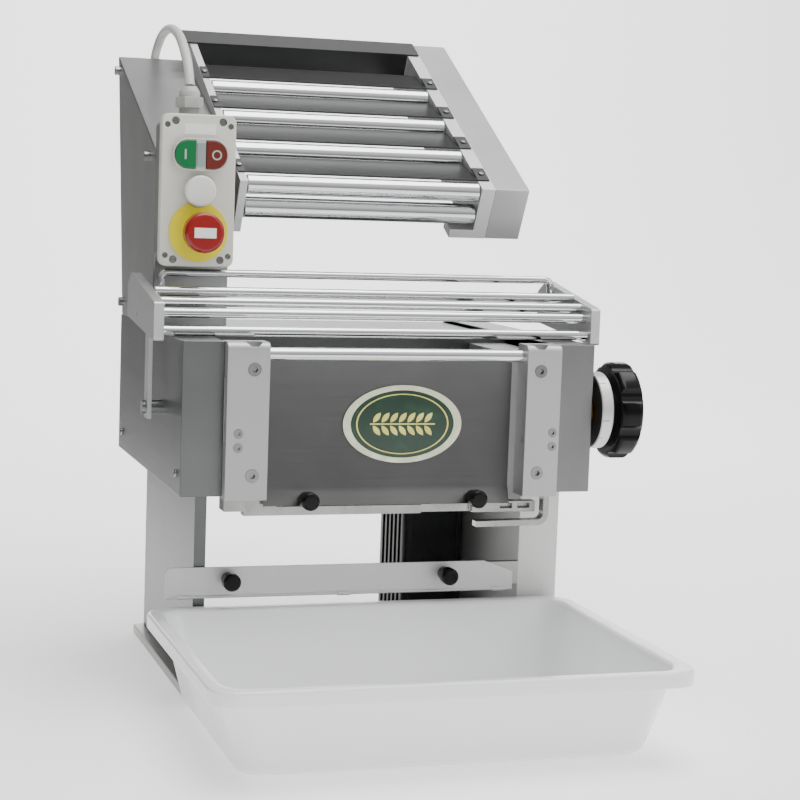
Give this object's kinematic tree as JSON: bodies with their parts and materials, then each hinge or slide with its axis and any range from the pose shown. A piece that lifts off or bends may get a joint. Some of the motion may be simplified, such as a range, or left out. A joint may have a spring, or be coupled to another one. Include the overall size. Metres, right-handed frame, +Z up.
{
  "type": "dough sheeter",
  "caption": "Electric bench dough sheeter: two calibrating rollers in a stainless housing under a sloping roller table, with guard, handwheel, control box and catch tray.",
  "frame": {"origin": "middle of the flat underside of the base plate, on the bench face", "axes": "+Z up, +X to the operator's right as they face the front, +Y from the front to the back"},
  "size_m": [0.4985, 0.7473, 0.6855],
  "materials": {
    "brushed_stainless": "brushed stainless sheet",
    "panel_stainless": "dark brushed stainless sheet",
    "anodised_aluminium": "matt anodised aluminium",
    "frame_steel": "ground stainless plate",
    "chromed_steel": "polished hard chrome",
    "machined_steel": "machined steel",
    "screw_steel": "zinc plated steel",
    "bronze": "sintered bronze",
    "scraper_plastic": "white polyethylene",
    "badge_enamel": "printed aluminium plate",
    "belt_rubber": "moulded rubber belt",
    "black_phenolic": "polished black phenolic",
    "motor_paint": "black paint on cast aluminium",
    "box_plastic": "grey ABS",
    "lid_plastic": "light grey ABS",
    "bezel_plastic": "light grey plastic",
    "green_plastic": "green plastic",
    "dark_red_plastic": "dark red plastic",
    "white_plastic": "white plastic",
    "yellow_plastic": "yellow plastic",
    "red_plastic": "red plastic",
    "gland_plastic": "grey polyamide",
    "cable_sheath": "light grey PVC sheath",
    "tray_plastic": "white polyethylene"
  },
  "bodies": {
    "machine": {"base_plate": "frame_steel", "cable_glands": "gland_plastic", "control_box": "box_plastic", "control_cable": "cable_sheath", "control_lid": "lid_plastic", "cross_bar": "frame_steel", "drive_belts": "belt_rubber", "fixing_screws": "screw_steel", "front_panel": "panel_stainless", "gear_motor": "motor_paint", "guide_bar": "chromed_steel", "hanger_bar": "brushed_stainless", "infeed_drive_cover": "brushed_stainless", "infeed_left_plate": "anodised_aluminium", "infeed_right_plate": "anodised_aluminium", "infeed_slats": "brushed_stainless", "left_bearing_cheek": "anodised_aluminium", "left_column": "brushed_stainless", "left_front_block": "anodised_aluminium", "left_side_cover": "brushed_stainless", "left_side_frame": "frame_steel", "panel_badge": "badge_enamel", "rear_cover": "brushed_stainless", "right_bearing_cheek": "anodised_aluminium", "right_front_block": "anodised_aluminium", "right_leg": "brushed_stainless", "right_side_cover": "brushed_stainless", "right_side_frame": "frame_steel", "roller_bushes": "bronze", "scraper_carrier": "frame_steel", "scrapers": "scraper_plastic", "stop_plate": "yellow_plastic", "twin_bezel": "bezel_plastic"},
    "sliding_bearings": {"sliding_bearings": "frame_steel"},
    "front_roller": {"front_roller": "chromed_steel", "front_gear": "machined_steel"},
    "rear_roller": {"rear_roller": "chromed_steel", "rear_gear_and_pulley": "machined_steel"},
    "motor_shaft": {"motor_pulley": "machined_steel"},
    "adjuster": {"adjuster_spindle": "anodised_aluminium", "handwheel": "black_phenolic"},
    "guard": {"guard_left_plate": "anodised_aluminium", "guard_right_plate": "anodised_aluminium", "guard_rods": "chromed_steel", "guard_top_bar": "chromed_steel"},
    "start_button": {"start_button": "green_plastic"},
    "stop_button": {"stop_button": "dark_red_plastic"},
    "reset_button": {"reset_button": "white_plastic"},
    "stop_mushroom": {"stop_mushroom": "red_plastic"},
    "panel_knob_1": {"panel_knob_1": "black_phenolic"},
    "panel_knob_2": {"panel_knob_2": "black_phenolic"},
    "deflector": {"deflector_plate": "brushed_stainless"},
    "deflector_knob_1": {"deflector_knob_1": "black_phenolic"},
    "deflector_knob_2": {"deflector_knob_2": "black_phenolic"},
    "catch_tray": {"catch_tray": "tray_plastic"},
    "infeed_nip_roller": {"infeed_nip_roller": "chromed_steel"},
    "infeed_roller_1": {"infeed_roller_1": "chromed_steel"},
    "infeed_roller_2": {"infeed_roller_2": "chromed_steel"},
    "infeed_roller_3": {"infeed_roller_3": "chromed_steel"},
    "infeed_roller_4": {"infeed_roller_4": "chromed_steel"}
  },
  "joints": [
    {"name": "rear_roller_spin", "type": "hinge", "parent": "machine", "child": "rear_roller", "pos_m": [0, -0.084, 0.297], "axis": [1, 0, 0], "continuous": true},
    {"name": "gap_slide", "type": "slide", "parent": "machine", "child": "sliding_bearings", "axis": [0, -1, 0], "range_m": [0, 0.005]},
    {"name": "front_roller_spin", "type": "hinge", "parent": "sliding_bearings", "child": "front_roller", "pos_m": [0, -0.145, 0.297], "axis": [1, 0, 0], "continuous": true},
    {"name": "motor_shaft_spin", "type": "hinge", "parent": "machine", "child": "motor_shaft", "pos_m": [0.17, 0.06, 0.285], "axis": [1, 0, 0], "continuous": true},
    {"name": "thickness_wheel", "type": "hinge", "parent": "machine", "child": "adjuster", "pos_m": [0.225, -0.172, 0.2917], "axis": [1, 0, 0], "range_deg": [0, 300.5]},
    {"name": "guard_tilt", "type": "hinge", "parent": "machine", "child": "guard", "pos_m": [0, -0.09, 0.285], "axis": [-1, 0, 0], "range_deg": [0, 12]},
    {"name": "infeed_roller_1_spin", "type": "hinge", "parent": "machine", "child": "infeed_roller_1", "pos_m": [0, -0.06665, 0.51154], "axis": [1, 0, 0], "continuous": true},
    {"name": "infeed_roller_2_spin", "type": "hinge", "parent": "machine", "child": "infeed_roller_2", "pos_m": [0, -0.00455, 0.54596], "axis": [1, 0, 0], "continuous": true},
    {"name": "infeed_roller_3_spin", "type": "hinge", "parent": "machine", "child": "infeed_roller_3", "pos_m": [0, 0.05755, 0.58038], "axis": [1, 0, 0], "continuous": true},
    {"name": "infeed_roller_4_spin", "type": "hinge", "parent": "machine", "child": "infeed_roller_4", "pos_m": [0, 0.11965, 0.6148], "axis": [1, 0, 0], "continuous": true},
    {"name": "infeed_nip_roller_spin", "type": "hinge", "parent": "machine", "child": "infeed_nip_roller", "pos_m": [0, -0.0538, 0.48836], "axis": [1, 0, 0], "continuous": true},
    {"name": "start_button_press", "type": "slide", "parent": "machine", "child": "start_button", "axis": [0, 1, 0], "range_m": [0, 0.0025], "stiffness_N_per_m": 400, "springref_m": -0.002},
    {"name": "stop_button_press", "type": "slide", "parent": "machine", "child": "stop_button", "axis": [0, 1, 0], "range_m": [0, 0.0025], "stiffness_N_per_m": 400, "springref_m": -0.002},
    {"name": "reset_button_press", "type": "slide", "parent": "machine", "child": "reset_button", "axis": [0, 1, 0], "range_m": [0, 0.003], "stiffness_N_per_m": 400, "springref_m": -0.002},
    {"name": "emergency_stop_press", "type": "slide", "parent": "machine", "child": "stop_mushroom", "axis": [0, 1, 0], "range_m": [0, 0.004]},
    {"name": "panel_knob_1_turn", "type": "hinge", "parent": "machine", "child": "panel_knob_1", "pos_m": [-0.086, -0.2, 0.206], "axis": [0, 1, 0], "continuous": true},
    {"name": "panel_knob_2_turn", "type": "hinge", "parent": "machine", "child": "panel_knob_2", "pos_m": [0.088, -0.2, 0.206], "axis": [0, 1, 0], "continuous": true},
    {"name": "deflector_tilt", "type": "hinge", "parent": "machine", "child": "deflector", "pos_m": [0, -0.138, 0.099], "axis": [1, 0, 0], "range_deg": [0, 30]},
    {"name": "deflector_knob_1_turn", "type": "hinge", "parent": "deflector", "child": "deflector_knob_1", "pos_m": [-0.15, -0.15, 0.117], "axis": [0, 1, 0], "continuous": true},
    {"name": "deflector_knob_2_turn", "type": "hinge", "parent": "deflector", "child": "deflector_knob_2", "pos_m": [0.079, -0.15, 0.117], "axis": [0, 1, 0], "continuous": true},
    {"name": "tray_slide", "type": "slide", "parent": "machine", "child": "catch_tray", "axis": [0, -1, 0], "range_m": [0, 0.3]}
  ],
  "couplings": [
    {"joint": "front_roller_spin", "follows": "rear_roller_spin", "ratio": -1},
    {"joint": "motor_shaft_spin", "follows": "rear_roller_spin", "ratio": 1.4118},
    {"joint": "thickness_wheel", "follows": "gap_slide", "rad_per_m": 1047.2},
    {"joint": "infeed_roller_2_spin", "follows": "infeed_roller_1_spin", "ratio": 1},
    {"joint": "infeed_roller_3_spin", "follows": "infeed_roller_1_spin", "ratio": 1},
    {"joint": "infeed_roller_4_spin", "follows": "infeed_roller_1_spin", "ratio": 1}
  ]
}
